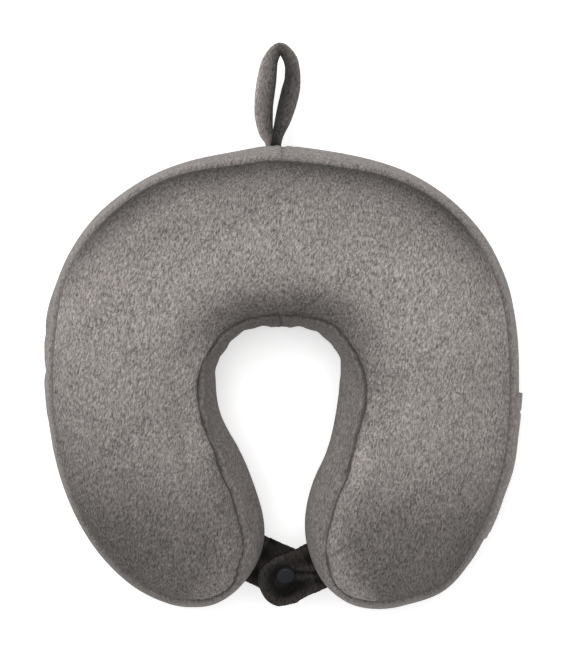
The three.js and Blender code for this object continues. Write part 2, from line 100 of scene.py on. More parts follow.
# How far the seams lie inside the outline.
TOP_SEAM_INSET = {
    0: 6.2, 1: 5.4, 1.6: 6, 2: 10, 2.5: 6.2, 3: 6.9,
    4: 6.2, 4.25: 4.4, 4.45: 8.2, 4.65: 12.8, 5: 16, 5.5: 7.8, 5.8: 4.2,
    6: 3.6, 6.35: 3.6, 6.6: 5.6, 7: 11.3, 7.4: 10.6, 7.55: 7.9, 7.75: 4.5, 8: 6.2,
}
LOW_SEAM_INSET = {0: 6, 2: 6.5, 4: 6, 4.5: 10, 5: 11, 6: 1, 7: 11, 7.5: 10, 8: 6}
CROWN_REACH = 45 * MM
FLAT_REACH = 30 * MM

SPACING = 3.4 * MM  # size of the cover's faces before they are subdivided
SEAM_RINGS = [0, 1.5 * MM, 3.6 * MM, 6.6 * MM]
CLOTH = 2 * MM
CORE_UNDER = 4.8 * MM  # from the skin to the foam
SEAM_ALLOWANCE = 2 * MM
PANEL_CUT_AREA = 0.056  # square metres of cloth in the u-shaped top, and as much in the bottom
PUFF_CAP = 3.5 * MM  # how far the simulation may move the skin
SEED = 7

# The zip lies on an arc low in the back wall, about its slider's hinge.
ZIP_CENTRE = Vector(JOINTS["zip_travel"]["pos_m"])
ZIP_RADIUS = 215 * MM
ZIP_Z = ZIP_CENTRE.z
ZIP_HALF_ANGLE = math.asin(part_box("zip_tape_upper")[1].x / ZIP_RADIUS)
ZIP_OPENING = 5.2 * MM  # half the height of the gap in the wall
TAPE_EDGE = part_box("zip_tape_upper")[1].z - ZIP_Z

TOP, BOTTOM, LEFT, RIGHT = range(4)


def given(thing, **settings):
    """The thing, with its settings made."""
    for key, value in settings.items():
        setattr(thing, key, value)
    return thing


def ease(value):
    held = np.clip(value, 0, 1)
    return (1 - np.cos(np.pi * held)) / 2


def unit(rows):
    """Each row scaled to a length of 1."""
    return rows / np.linalg.norm(rows, axis=1)[:, None]


def bump(value, middle, spread):
    """A bell of height 1."""
    return np.exp(-(((value - middle) / spread) ** 2))


# ---------- Plan outline ----------


def half_gap(depth):
    """Half the distance between the arms, this far in front of the widest line."""
    closing = ease(depth / THROAT_DEPTH)
    opening = OPENING_HALF_WIDTH + (THROAT_HALF_WIDTH - OPENING_HALF_WIDTH) * closing
    t = np.clip((depth - THROAT_DEPTH) / (FRONT_DEPTH - THROAT_DEPTH), 0, 1)
    flare = ARM_END_X - (ARM_END_X - THROAT_HALF_WIDTH) * np.sqrt(1 - t * t)
    return np.where(depth < THROAT_DEPTH, opening, flare)


def lean(y):
    """How far the neck opening leans to the left at y."""
    spread = np.where(y > OPENING_LEAN_Y, 45 * MM, 28 * MM)
    return -OPENING_LEAN * bump(y, OPENING_LEAN_Y, spread)


def eased_between(knots, way):
    """A table's value at each place, in metres."""
    places = np.array(list(knots))
    values = np.array(list(knots.values())) * MM
    k = np.clip(np.searchsorted(places, way, side="right") - 1, 0, len(places) - 2)
    share = ease((way - places[k]) / (places[k + 1] - places[k]))
    return values[k] + (values[k + 1] - values[k]) * share


def plain_outline(way):
    """Plan points for places along the closed outline, 0 to 4 outside and 4 to 8 inside."""
    way = np.mod(np.asarray(way, float), 8)
    outside = way <= 4
    station = np.where(outside, way - 2, 6 - way)
    far = np.abs(station)
    turn = np.clip(far, 0, 1) * np.pi / 2
    across = np.sin(turn) / np.where(outside, HALF_WIDTH, OPENING_HALF_WIDTH)
    along = np.cos(turn) / np.where(outside, BACK_DEPTH, OPENING_BACK)
    radius = (across**SQUARENESS + np.abs(along) ** SQUARENESS) ** (-1 / SQUARENESS)
    arm_turn = np.clip(2 - far, 0, 1) * np.pi / 2
    arm_depth = FRONT_DEPTH * np.cos(arm_turn)
    arm_out = ARM_END_X + (HALF_WIDTH - ARM_END_X) * np.sin(arm_turn)
    arm_x = np.where(outside, arm_out, half_gap(arm_depth))
    x = np.sign(station) * np.where(far <= 1, radius * np.sin(turn), arm_x)
    y = WIDEST_Y + np.where(far <= 1, radius * np.cos(turn), -arm_depth)
    hump = BACK_HUMP * bump(x, BACK_HUMP_X, np.where(x < BACK_HUMP_X, *BACK_HUMP_SPREAD))
    y = y + np.where(outside & (far < 1), hump, 0)
    x = x + np.where(outside, 0, lean(y))
    return np.stack([x, y], -1)


def normals(way, shape):
    """Directions out of the ring, square to the shape's outline."""
    step = shape(way + 1e-3) - shape(way - 1e-3)
    return unit(np.stack([-step[:, 1], step[:, 0]], -1))


def outline(way):
    """The plain outline with its fullness."""
    way = np.mod(np.asarray(way, float), 8)
    fullness = eased_between(FULLNESS, way)
    return plain_outline(way) + normals(way, plain_outline) * fullness[:, None]


def even_ways(start, end):
    """Places between start and end, a SPACING apart along the outline; end is left out."""
    fine = np.linspace(start, end, 3001)
    run = np.cumsum(np.linalg.norm(np.diff(outline(fine), axis=0), axis=1))
    run = np.concatenate([[0], run])
    count = round(run[-1] / SPACING)
    return np.interp(np.linspace(0, run[-1], count + 1)[:-1], run, fine)


WAYS = np.concatenate([even_ways(start, start + 2) for start in (0, 2, 4, 6)])
COUNT = len(WAYS)
PLAN = outline(WAYS)
OUTWARD = normals(WAYS, outline)
STEPS = np.linalg.norm(np.roll(PLAN, -1, axis=0) - PLAN, axis=1)
ARC = np.concatenate([[0], np.cumsum(STEPS)[:-1]])


def arc_at(way):
    """Distance along the outline to a place on it."""
    return float(np.interp(way, WAYS, ARC))


def wall_ring(z, layer):
    """The wall's points at one height, layer under its outer face."""
    rise = (z - MIDDLE_Z) / (SEAM_HIGH - MIDDLE_Z)
    inset = eased_between(TOP_SEAM_INSET if rise > 0 else LOW_SEAM_INSET, WAYS) * rise * rise
    flat = PLAN - OUTWARD * (inset + layer)[:, None]
    return np.column_stack([flat, np.full(COUNT, z)])


# ---------- The cover's skin ----------


def swell(share):
    """The rounded rise from a seam to the flat, 0 to 1."""
    return (1 - (1 - np.clip(share, 0, 1)) ** 2.4) ** 0.8


def nearest_on(loop, points):
    """Each point's distance to the closed loop, and the loop's index nearest to it."""
    start = loop[None, :, :]
    side = np.roll(loop, -1, axis=0)[None, :, :] - start
    reach = points[:, None, :] - start
    along = np.clip((reach * side).sum(2) / (side**2).sum(2), 0, 1)
    gaps = np.linalg.norm(reach - side * along[:, :, None], axis=2)
    index = gaps.argmin(1)
    return gaps[np.arange(len(points)), index], index


def inside(loop, points):
    """Whether each point lies inside the closed loop, by the crossings to its right."""
    x0, y0 = loop[:, 0], loop[:, 1]
    x1, y1 = np.roll(x0, -1), np.roll(y0, -1)
    px, py = points[:, 0, None], points[:, 1, None]
    spans = (y0 > py) != (y1 > py)
    rise = np.where(y1 == y0, 1, y1 - y0)
    crossing = x0 + (py - y0) * (x1 - x0) / rise
    return (spans & (px < crossing)).sum(1) % 2 == 1


def lattice(loop):
    """Points of a triangular lattice inside a loop, clear of it."""
    low, high = loop.min(0), loop.max(0)
    pitch = 1.15 * SPACING
    rows = np.arange(low[1], high[1], pitch * math.sqrt(0.75))
    columns = np.arange(low[0], high[0], pitch)
    grid = [[x + (r % 2) * pitch / 2, y] for r, y in enumerate(rows) for x in columns]
    points = np.array(grid)
    points = points[inside(loop, points)]
    gaps, _ = nearest_on(loop, points)
    return points[gaps > 0.7 * pitch]


def strip(first, second):
    """Quads between two closed rings of vertex numbers."""
    turned = np.roll(first, -1), np.roll(second, -1)
    return np.column_stack([first, turned[0], turned[1], second]).tolist()


class Skin:
    """The stuffed ring's closed outside, or a layer under it, whose faces know their panel."""

    def __init__(self, layer=0.0):
        self.points = []
        self.faces = []
        self.parts = []
        self.gaps = []
        self.arcs = []
        self.layer = layer
        rings = [self.ring(wall_ring(z, layer), self.wall_gap(z)) for z in self.wall_levels()]
        for low, high in zip(rings, rings[1:]):
            self.walls(low, high)
        self.panel(rings[-1], SEAM_HIGH, 1, CROWN_REACH, TOP)
        self.panel(rings[0], SEAM_LOW, -1, FLAT_REACH, BOTTOM)
        self.low_seam, self.high_seam = rings[0], rings[-1]

    def ring(self, points, gaps):
        """Adds one ring of points and gives their numbers."""
        first = len(self.points)
        self.points.extend(points)
        self.gaps.extend(np.broadcast_to(gaps, COUNT))
        self.arcs.extend(ARC)
        return np.arange(first, first + COUNT)

    def wall_levels(self):
        """Heights from seam to seam, closer together at the seams and at the zip's edge."""
        edge = np.array(SEAM_RINGS[1:])
        zip_edges = ZIP_Z + ZIP_OPENING * np.array([-0.9, 1, 1.5])
        upper = np.linspace(zip_edges[-1] + SPACING, SEAM_HIGH - edge[-1] - SPACING, 11)
        return [SEAM_LOW, *zip_edges, *upper, *(SEAM_HIGH - edge[::-1]), SEAM_HIGH]

    def wall_gap(self, z):
        """Distance to the nearest seam, the two upright joins of the wall's halves included."""
        joins = [np.abs(ARC - arc_at(place)) for place in (2, 6)]
        return np.minimum(min(z - SEAM_LOW, SEAM_HIGH - z), np.minimum(*joins))

    def walls(self, low, high):
        """Joins two rings of the wall, each half under its own panel's number."""
        on_right = (WAYS >= 2 - 1e-6) & (WAYS < 6 - 1e-6)
        self.faces.extend(strip(low, high))
        self.parts.extend(np.where(on_right, RIGHT, LEFT))

    def panel(self, seam, seam_z, direction, reach, part):
        """Rings next to the seam, then triangles over the lattice inside them."""
        peak = MIDDLE_Z + direction * (MIDDLE_Z - self.layer)
        seam_plan = np.array([self.points[i] for i in seam])[:, :2]
        rings = [seam]
        for gap in SEAM_RINGS[1:]:
            flat = seam_plan - OUTWARD * gap
            z = seam_z + (peak - seam_z) * swell(gap / reach)
            rings.append(self.ring(np.column_stack([flat, np.full(COUNT, z)]), gap))
        for outer, inner in zip(rings, rings[1:]):
            self.faces.extend(strip(outer, inner) if direction > 0 else strip(inner, outer))
            self.parts.extend([part] * COUNT)
        hem = np.array([self.points[i] for i in rings[-1]])[:, :2]
        field = lattice(hem)
        gaps, near = nearest_on(seam_plan, field)
        z = seam_z + (peak - seam_z) * swell(gaps / reach)
        numbers = np.concatenate([rings[-1], len(self.points) + np.arange(len(field))])
        self.points.extend(np.column_stack([field, z]))
        self.gaps.extend(gaps)
        self.arcs.extend(ARC[near])
        flat = [Vector(p) for p in np.concatenate([hem, field])]
        edges = [(i, (i + 1) % COUNT) for i in range(COUNT)]
        _, _, triangles, origins, _, _ = delaunay_2d_cdt(flat, edges, [], 1, 1e-7)
        for triangle in triangles:
            corners = [int(numbers[origins[i][0]]) for i in triangle]
            self.faces.append(corners[::-direction])
            self.parts.append(part)

    def object(self, name, material):
        """The skin as a Blender object, with each face's panel as its material number."""
        piece = mesh_object(name, self.points, self.faces)
        for _ in range(4):
            piece.data.materials.append(material)
        piece.data.polygons.foreach_set("material_index", np.array(self.parts, np.int32))
        for key, values in (("seam_gap", self.gaps), ("arc", self.arcs)):
            attribute = piece.data.attributes.new(key, "FLOAT", "POINT")
            attribute.data.foreach_set("value", np.array(values, np.float32))
        return piece


# ---------- Mesh helpers ----------


def placed_object(name, data, place=(0, 0, 0)):
    holder = given(bpy.data.objects.new(name, data), location=place)
    bpy.context.scene.collection.objects.link(holder)
    return holder


def mesh_object(name, points, faces, material=None):
    """A new smooth mesh object with its faces turned outwards."""
    mesh = bpy.data.meshes.new(name)
    mesh.from_pydata([tuple(map(float, p)) for p in points], [], [list(f) for f in faces])
    mesh.update()
    if signed_volume(mesh) < 0:
        mesh.flip_normals()
    mesh.polygons.foreach_set("use_smooth", [True] * len(mesh.polygons))
    piece = placed_object(name, mesh)
    if material:
        mesh.materials.append(material)
    return piece


def coordinates(mesh, key="co"):
    values = np.zeros(len(mesh.vertices) * 3, np.float32)
    mesh.vertices.foreach_get(key, values)
    return values.reshape(-1, 3).astype(float)


def set_coordinates(mesh, points):
    mesh.vertices.foreach_set("co", points.astype(np.float32).ravel())
    mesh.update()


def attribute_values(mesh, key):
    values = np.zeros(len(mesh.vertices), np.float32)
    mesh.attributes[key].data.foreach_get("value", values)
    return values.astype(float)


def set_painted_light(piece, values):
    """Stores the painted light and shade at each point, which the velour multiplies its colour by.
    """
    attribute = piece.data.attributes.new("painted_light", "FLOAT", "POINT")
    attribute.data.foreach_set("value", np.array(values, np.float32))


def signed_volume(mesh):
    mesh.calc_loop_triangles()
    points = coordinates(mesh)
    corners = np.array([t.vertices for t in mesh.loop_triangles])
    a, b, c = (points[corners[:, i]] for i in range(3))
    return (a * np.cross(b, c)).sum() / 6


def baked(piece):
    """Applies the piece's modifiers to its mesh."""
    graph = bpy.context.evaluated_depsgraph_get()
    mesh = bpy.data.meshes.new_from_object(piece.evaluated_get(graph))
    piece.modifiers.clear()
    piece.data = mesh
    return piece


def subdivided(piece):
    given(piece.modifiers.new("smooth", "SUBSURF"), levels=1, render_levels=1)
    return baked(piece)


def turns(count):
    """The cosine and sine of evenly spaced turns round a circle."""
    angles = [2 * math.pi * i / count for i in range(count)]
    return [(math.cos(angle), math.sin(angle)) for angle in angles]


def tube_faces(count, sides, closed=False):
    """Faces through this many rings of points; its ends are capped, or joined if closed."""
    rings = [np.arange(sides) + i * sides for i in range(count)]
    pairs = zip(rings, rings[1:] + rings[:1] if closed else rings[1:])
    faces = [face for a, b in pairs for face in strip(a, b)]
    return faces if closed else [*faces, rings[0][::-1].tolist(), rings[-1].tolist()]


def swept(name, rings, material, closed=False):
    """A solid through rings of points."""
    points = [point for ring in rings for point in ring]
    faces = tube_faces(len(rings), len(rings[0]), closed)
    return mesh_object(name, points, faces, material)


def closed_sheet(name, outer, inner, faces, material):
    """Cloth from its outer side's points and faces, its inner side's points and a rim between."""
    count = len(outer)
    edges = [edge for face in faces for edge in zip(face, face[1:] + face[:1])]
    paired = set(edges)
    rim = [[b, a, a + count, b + count] for a, b in edges if (b, a) not in paired]
    back = [[v + count for v in face[::-1]] for face in faces]
    return mesh_object(name, np.concatenate([outer, inner]), faces + back + rim, material)


def noise_along(count, knots, rng):
    """A smooth random line of this many values between -1 and 1, through evenly spaced knots."""
    values = rng.uniform(-1, 1, knots + 1)
    places = np.linspace(0, knots, count)
    k = np.minimum(places.astype(int), knots - 1)
    return values[k] + (values[k + 1] - values[k]) * ease(places - k)


def settle(piece, body, slot, *nodes):
    """Ties a piece to its body and hides the CAD nodes it stands for; slot is not used."""
    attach(piece, body)
    if nodes:
        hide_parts(*nodes)


# ---------- Stuffing the cover ----------


def stuffed(piece, pressure, shrink, frames=20):
    """Inflates the skin as cloth and returns where its points end."""
    mesh = piece.data
    gaps = attribute_values(mesh, "seam_gap")
    group = piece.vertex_groups.new(name="seams")
    for index in np.flatnonzero(gaps < SEAM_RINGS[2] + 1e-6):
        group.add([int(index)], 1.0 - gaps[index] / (2 * SEAM_RINGS[2]), "REPLACE")
    cloth = piece.modifiers.new("cloth", "CLOTH")
    settings = given(cloth.settings, quality=6, mass=0.3, bending_stiffness=0.6)
    given(settings, tension_stiffness=25, compression_stiffness=25)
    given(settings, use_pressure=True, uniform_pressure_force=pressure)
    given(settings, vertex_group_shrink=group.name, shrink_min=0, shrink_max=shrink)
    settings.effector_weights.gravity = 0
    cloth.collision_settings.use_collision = False
    given(cloth.point_cache, frame_start=1, frame_end=frames)
    for number in range(1, frames + 1):
        bpy.context.scene.frame_set(number)
    graph = bpy.context.evaluated_depsgraph_get()
    result = coordinates(piece.evaluated_get(graph).to_mesh())
    piece.modifiers.clear()
    bpy.context.scene.frame_set(1)
    return result


def smoothed(values, mesh, rounds):
    """Values averaged with their neighbours, again and again."""
    edges = np.zeros(len(mesh.edges) * 2, np.int32)
    mesh.edges.foreach_get("vertices", edges)
    a, b = edges.reshape(-1, 2).T
    count = np.bincount(a, minlength=len(values)) + np.bincount(b, minlength=len(values))
    for _ in range(rounds):
        total = np.zeros_like(values)
        np.add.at(total, a, values[b])
        np.add.at(total, b, values[a])
        values = 0.5 * values + 0.5 * total / count[:, None]
    return values


def stuff(piece):
    """Keeps the simulation's folds and pulled seams, and leaves the overall shape as it is."""
    mesh = piece.data
    base = coordinates(mesh)
    moved = stuffed(piece, pressure=4, shrink=0.05) - base
    length = np.linalg.norm(moved, axis=1)[:, None]
    moved *= np.minimum(1, PUFF_CAP / np.maximum(length, 1e-9))
    broad = smoothed(moved, mesh, 60)
    result = base + moved - broad
    result[:, 2] = np.maximum(result[:, 2], 0)
    set_coordinates(mesh, result)


def about_zip(x, y):
    """Angle and radius about the zip's centre."""
    return np.arctan2(x, y - ZIP_CENTRE.y), np.hypot(x, y - ZIP_CENTRE.y)


def drawn_in(points, limit, past_ends, upwards):
    """Pulls points in to a radius about the zip's centre, less past its ends and away from it."""
    x, y, _ = points.T
    angle, radius = about_zip(x, y)
    ends = (np.abs(angle) - ZIP_HALF_ANGLE) * ZIP_RADIUS / (9 * MM)
    share = (1 - ease(ends - past_ends)) * upwards * (y > 0)
    excess = np.maximum(radius - limit, 0) * share
    moved = points.copy()
    moved[:, 0] -= excess * np.sin(angle)
    moved[:, 1] -= excess * np.cos(angle)
    return moved


def channel(points):
    """Draws the back wall in to the zip, and fades out past the zip's ends."""
    upwards = 1 - ease((np.abs(points[:, 2] - ZIP_Z) - 1.1 * ZIP_OPENING) / (7 * MM))
    return drawn_in(points, ZIP_RADIUS + 0.4 * MM, 0, upwards)


def puckers(points, gaps, arcs, rng):
    """How far the cloth beside the seams stands out or pulls in, point by point."""
    high = points[:, 2] > MIDDLE_Z
    waves = np.sin(arcs / (1.2 * MM) + 2.2 * np.sin(arcs / (17 * MM)) + rng.uniform(0, 6))
    fine = np.sin(arcs / (0.7 * MM) + 1.6 * np.sin(arcs / (9 * MM)) + rng.uniform(0, 6))
    near_back = bump(arcs, arc_at(2) + 8 * MM, 62 * MM)
    near_opening = bump(arcs, arc_at(6), 62 * MM)
    left_tip = bump(arcs, arc_at(7.6), 40 * MM)
    anywhere = 0.22
    top = 0.55 * near_back + 0.3 * near_opening + 0.75 * left_tip + anywhere
    low = 0.15 * near_opening + 0.1 * near_back + anywhere
    beside = np.exp(-gaps / (4.5 * MM)) * (1 - 0.65 * bump(gaps, 0, 1.8 * MM))
    return (waves + 0.5 * fine) * np.where(high, top, low) * beside * MM


def scallops(points, arcs):
    """The wall at the back of the neck opening, gathered into small billows at its low seam."""
    rise = (points[:, 2] - SEAM_LOW) / (SEAM_HIGH - SEAM_LOW)
    reach = np.exp(-(((arcs - arc_at(6)) / (54 * MM)) ** 4)) * ease(1 + rise / 0.08)
    uneven = 0.3 * np.sin(arcs / (15 * MM))
    billow = np.abs(np.sin(np.pi * (arcs - arc_at(6)) / (11.5 * MM) + uneven))
    join = 1.6 * bump(arcs, arc_at(6), 2 * MM)
    return (2.0 * (billow - 0.6) + join) * reach * bump(rise, 0, 0.5) * MM


def pinch(points):
    """The pull of the hang loop on the cloth round its root, with creases that spread from it."""
    root = Vector(JOINTS["loop_swing"]["pos_m"])
    x = points[:, 0] - root.x - 2 * MM
    y = points[:, 1] - (WALL_HIGH.y - 9 * MM)
    distance = np.hypot(x, y * 1.3)
    creases = np.cos(5 * np.arctan2(y, x) + 0.8) * np.exp(-distance / (14 * MM))
    dimple = bump(distance, 0, 5 * MM)
    near_top = ease((points[:, 2] - SEAM_HIGH + 14 * MM) / (8 * MM))
    at_back = points[:, 1] > 0.5 * WALL_HIGH.y
    return (0.7 * creases - 0.8 * dimple) * near_top * at_back * MM


def at_join(points, gaps):
    """Whether each point is nearer to one of the wall's upright joins than to a seam."""
    return np.minimum(points[:, 2] - SEAM_LOW, SEAM_HIGH - points[:, 2]) > gaps + 1.5 * MM


def groove(points, gaps):
    """The dip at the seams, shallower at the wall's two upright joins."""
    depth = np.where(at_join(points, gaps), 0.5, 2.2)
    return -depth * MM * bump(gaps, 0, 1.5 * MM)


def painted_shading(points, gaps, arcs):
    """Painted light and shade on the cover's skin, a factor for the velour's colour.

    Painted shade towards the arms' ends and over the front half, on the left arm, in a band inside
    the back's outer seam, beside the arms' outer seams, in a ring round the back of the neck
    opening and along every seam's groove, with a painted highlight beside the right arm's inner
    seam. On the walls, painted shade on the outer wall, on the inner left wall towards its top, on
    the inner right wall with a painted lit band high on it, and at the back of the opening.
    """
    x, y, z = points.T
    outer = arcs < arc_at(4)
    wall = (z > SEAM_LOW) & (z < SEAM_HIGH)
    from_opening = np.abs(x - lean(y)) - half_gap(WIDEST_Y - y) - 12 * MM
    # Painted shade towards the arms' ends, lighter beside the neck opening.
    front = ease((WIDEST_Y - 24 * MM - y) / (75 * MM))
    front = front * (0.22 + 0.28 * ease(from_opening / (25 * MM)))
    # Painted shade over the front half and on the left arm.
    middle = 0.09 * ease((5 * MM - y) / (40 * MM))
    left = 0.14 * ease((-x - 50 * MM) / (60 * MM)) * ease((-30 * MM - y) / (50 * MM))
    # Painted shade in a band inside the back's outer seam and beside the arms' outer seams.
    back_band = 0.95 * np.exp(-((gaps / (18 * MM)) ** 1.1)) * ease(y / (70 * MM)) * outer
    side_band = 0.3 * np.exp(-gaps / (6 * MM)) * outer * ease(-y / (40 * MM))
    around = arcs - arc_at(6)
    spread = np.where(around > 0, 44 * MM, 52 * MM)
    # Painted shade round the back of the neck opening; glow is a painted highlight beside the right
    # arm's inner seam.
    ring = 0.62 * np.exp(-((gaps / (18 * MM)) ** 2.5)) * np.exp(-((around / spread) ** 4))
    glow = 0.32 * bump(gaps, 6 * MM, 7 * MM) * ~outer * (x > 0) * ease((-60 * MM - y) / (30 * MM))
    # Painted shade along the seams' grooves, fainter at the wall's upright joins.
    darkness = np.where(at_join(points, gaps), 0.25, np.where(wall & outer, 0.35, 0.75))
    seam_line = darkness * bump(gaps, 0, 1.2 * MM)
    panel_shade = (1 - front) * (1 - middle - left) * (1 - back_band)
    panel_shade = panel_shade * (1 - side_band) * (1 - ring) * (1 + glow)
    rise = np.clip((z - SEAM_LOW) / (SEAM_HIGH - SEAM_LOW), 0, 1)
    # Painted shade on the walls: the inner left wall darker towards its top, the inner right wall
    # darker with a painted lit band high on it.
    left_wall = 0.98 - 0.26 * rise
    right_wall = 0.76 + 0.2 * bump(rise, 0.7, 0.2)
    opening_back = 1 - 0.3 * bump(arcs, arc_at(6), 50 * MM)
    inner_shade = np.where(x < lean(y), left_wall, right_wall) * opening_back
    wall_shade = np.where(outer, 0.8, inner_shade) * (1 - 0.5 * front)
    return np.where(wall, wall_shade, panel_shade) * (1 - seam_line)


def finish_skin(piece):
    """Grooves, puckers and painted light and shade on the subdivided skin."""
    mesh = piece.data
    points = coordinates(mesh)
    gaps = attribute_values(mesh, "seam_gap")
    arcs = attribute_values(mesh, "arc")
    rng = np.random.default_rng(SEED)
    out = puckers(points, gaps, arcs, rng) + scallops(points, arcs) + groove(points, gaps)
    out += pinch(points) * ease((gaps - 1.5 * MM) / (5 * MM))
    points = points + coordinates(mesh, "normal") * out[:, None]
    points = channel(points)
    points[:, 2] = np.maximum(points[:, 2], 0)
    set_coordinates(mesh, points)
    set_painted_light(piece, painted_shading(points, gaps, arcs))


def in_zip_gap(centre):
    """Whether a face of the wall lies over the zip, where the cloth is cut open."""
    angle, radius = about_zip(centre.x, centre.y)
    beside = abs(centre.z - ZIP_Z) < ZIP_OPENING and abs(radius - ZIP_RADIUS) < 20 * MM
    return beside and abs(angle) < ZIP_HALF_ANGLE - 1.5 * MM / ZIP_RADIUS


def panel_piece(name, skin, part, material):
    """One panel of the skin as a closed piece of cloth."""
    mesh = skin.data
    points = coordinates(mesh)
    inner = points - coordinates(mesh, "normal") * CLOTH
    # The skin's painted light and shade, carried over to both sides of the panel.
    painted_shade = attribute_values(mesh, "painted_light")
    own = [p for p in mesh.polygons if p.material_index == part and not in_zip_gap(p.center)]
    kept = [list(p.vertices) for p in own]
    used = sorted({v for face in kept for v in face})
    number = {v: i for i, v in enumerate(used)}
    faces = [[number[v] for v in face] for face in kept]
    piece = closed_sheet(name, points[used], inner[used], faces, material)
    set_painted_light(piece, np.tile(painted_shade[used], 2))
    return piece


# ---------- Materials ----------


class Nodes:
    """A material's node tree, with short calls to add to it."""

    def __init__(self, name):
        self.material = bpy.data.materials.new(name)
        self.material.use_nodes = True
        self.tree = self.material.node_tree
        self.shader = self.tree.nodes["Principled BSDF"]
        self.place = self.add("ShaderNodeTexCoord").outputs["Object"]

    def add(self, kind, **settings):
        return given(self.tree.nodes.new(kind), **settings)

    def put(self, socket, value):
        if isinstance(value, bpy.types.NodeSocket):
            self.tree.links.new(value, socket)
        else:
            socket.default_value = value

    def filled(self, node, **inputs):
        """The node with its named inputs linked or set."""
        for key, value in inputs.items():
            self.put(node.inputs[key], value)
        return node

    def math(self, operation, *values, clamp=False):
        node = self.add("ShaderNodeMath", operation=operation, use_clamp=clamp)
        for socket, value in zip(node.inputs, values):
            self.put(socket, value)
        return node.outputs[0]

    def stretched(self, scale, turn=0.0, place=None):
        """Coordinates turned about z and scaled along each axis."""
        node = self.add("ShaderNodeMapping", vector_type="TEXTURE")
        rotation = (0, 0, turn)
        self.filled(node, Vector=place or self.place, Rotation=rotation, Scale=scale)
        return node.outputs[0]

    def noise(self, size, detail=2.0, roughness=0.5, place=None):
        """Noise about size metres across, 0 to 1."""
        node = self.add("ShaderNodeTexNoise")
        self.filled(node, Vector=place or self.place, Scale=1 / size)
        self.filled(node, Detail=detail, Roughness=roughness)
        return node.outputs["Fac"]

    def diagonal_bands(self, scale, distortion=0.0):
        """Slanting ribs, 0 to 1."""
        node = self.add("ShaderNodeTexWave", bands_direction="DIAGONAL")
        self.filled(node, Vector=self.place, Scale=scale, Distortion=distortion)
        return node.outputs["Fac"]

    def between(self, share, low, high):
        """low where share is 0, high where it is 1."""
        return self.math("MULTIPLY_ADD", share, high - low, low)

    def tint(self, colour, *factors):
        """The colour times every factor."""
        total = factors[0]
        for factor in factors[1:]:
            total = self.math("MULTIPLY", total, factor)
        mix = self.add("ShaderNodeVectorMath", operation="SCALE")
        mix.inputs[0].default_value = colour
        self.put(mix.inputs["Scale"], total)
        return mix.outputs[0]

    def bumped(self, height, strength, distance):
        node = self.add("ShaderNodeBump")
        self.filled(node, Height=height, Strength=strength, Distance=distance)
        return node.outputs[0]

    def finish(self, colour, normal=None, roughness=0.9, **sockets):
        self.put(self.shader.inputs["Base Color"], colour)
        self.put(self.shader.inputs["Roughness"], roughness)
        if normal:
            self.put(self.shader.inputs["Normal"], normal)
        for key, value in sockets.items():
            self.shader.inputs[key.replace("_", " ")].default_value = value
        return self.material


def two_textures(nodes, colour, first, second, relief, **finish):
    """A finish shaded by two textures, each with its darkest and lightest factor, bumped by one."""
    tint = nodes.tint(colour, nodes.between(*first), nodes.between(*second))
    return nodes.finish(tint, nodes.bumped(*relief), **finish)


MARK_ANGLE = math.radians(36)
MARK_PERIOD = 88 * MM
MARK_ROW = 66 * MM
MARK_SHIFT = 0.6  # of a period, from one row to the next
MARK_LINE = 33 * MM
DIAMOND_PITCH = 8 * MM


def embossed_marks(nodes):
    """1 on the pressed pattern: slanting rows of a fine line and then a chain of small diamonds."""
    calc = nodes.math
    split = nodes.add("ShaderNodeSeparateXYZ")
    slanted = nodes.add("ShaderNodeVectorRotate", rotation_type="Z_AXIS")
    nodes.filled(slanted, Vector=nodes.place, Angle=-MARK_ANGLE)
    nodes.put(split.inputs[0], slanted.outputs[0])
    u, v = split.outputs[0], split.outputs[1]
    row_place = calc("DIVIDE", calc("ADD", v, 0.5 * MARK_ROW), MARK_ROW)
    across = calc("SUBTRACT", calc("FRACT", row_place), 0.5)
    from_line = calc("ABSOLUTE", calc("MULTIPLY", across, MARK_ROW))
    periods = calc("DIVIDE", u, MARK_PERIOD)
    shifted = calc("MULTIPLY_ADD", calc("FLOOR", row_place), MARK_SHIFT, periods)
    along = calc("MULTIPLY", calc("FRACT", shifted), MARK_PERIOD)
    on_line = calc("LESS_THAN", along, MARK_LINE)
    line = calc("MULTIPLY", on_line, soft_below(nodes, from_line, 0.45 * MM, 0.5 * MM))
    local = calc("SUBTRACT", along, MARK_LINE + 6 * MM)
    share = calc("FRACT", calc("DIVIDE", local, DIAMOND_PITCH))
    cell = calc("MULTIPLY", calc("SUBTRACT", share, 0.5), DIAMOND_PITCH)
    diamond = calc("ADD", calc("ABSOLUTE", cell), calc("MULTIPLY", from_line, 0.8))
    rim = calc("ABSOLUTE", calc("SUBTRACT", diamond, 2.7 * MM))
    started = calc("GREATER_THAN", local, 0.0)
    ended = calc("LESS_THAN", local, 5 * DIAMOND_PITCH)
    ring = soft_below(nodes, rim, 0.4 * MM, 0.5 * MM)
    return calc("MAXIMUM", line, calc("MULTIPLY", ring, calc("MULTIPLY", started, ended)))


def soft_below(nodes, value, edge, softness):
    """1 where the value is under the edge, easing to 0 over the softness."""
    past = nodes.math("DIVIDE", nodes.math("SUBTRACT", edge + softness, value), softness)
    return nodes.math("MULTIPLY", past, 1.0, clamp=True)


VELOUR = (0.29, 0.263, 0.25)
DARK_VELOUR = (0.017, 0.0145, 0.0132)


